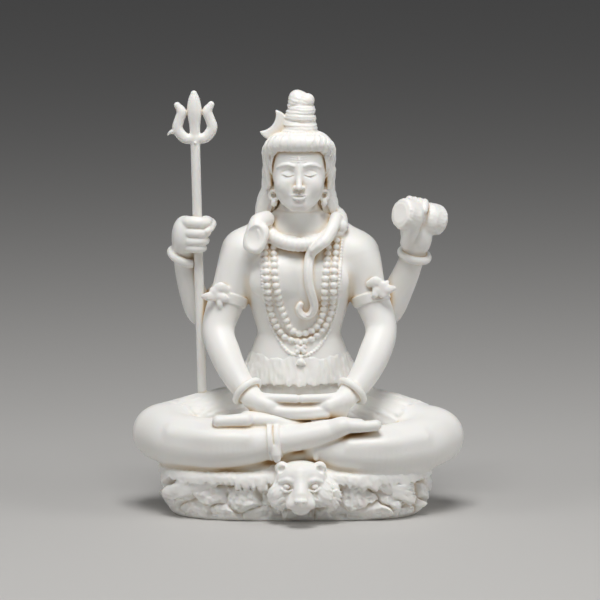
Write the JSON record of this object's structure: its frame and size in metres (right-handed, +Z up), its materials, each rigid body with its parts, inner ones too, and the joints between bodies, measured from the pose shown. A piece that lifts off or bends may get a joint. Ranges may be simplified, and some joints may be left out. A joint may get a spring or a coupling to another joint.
{
  "type": "shiva figure",
  "caption": "Small white cast figure of a four-armed deity seated cross-legged on a rock with a tiger skin, holding a trident and an hourglass drum.",
  "frame": {"origin": "centre of the flat underside of the rock that the figure sits on", "axes": "+Z up the figure, -Y the way the face looks, +X towards the viewer's right and the arm with the drum"},
  "size_m": [0.1181, 0.0673, 0.1501],
  "materials": {
    "casting": "satin white cast resin filled with marble powder",
    "trident_casting": "satin white cast resin"
  },
  "bodies": {
    "root": {"figure": "casting", "trident": "trident_casting"}
  },
  "joints": []
}
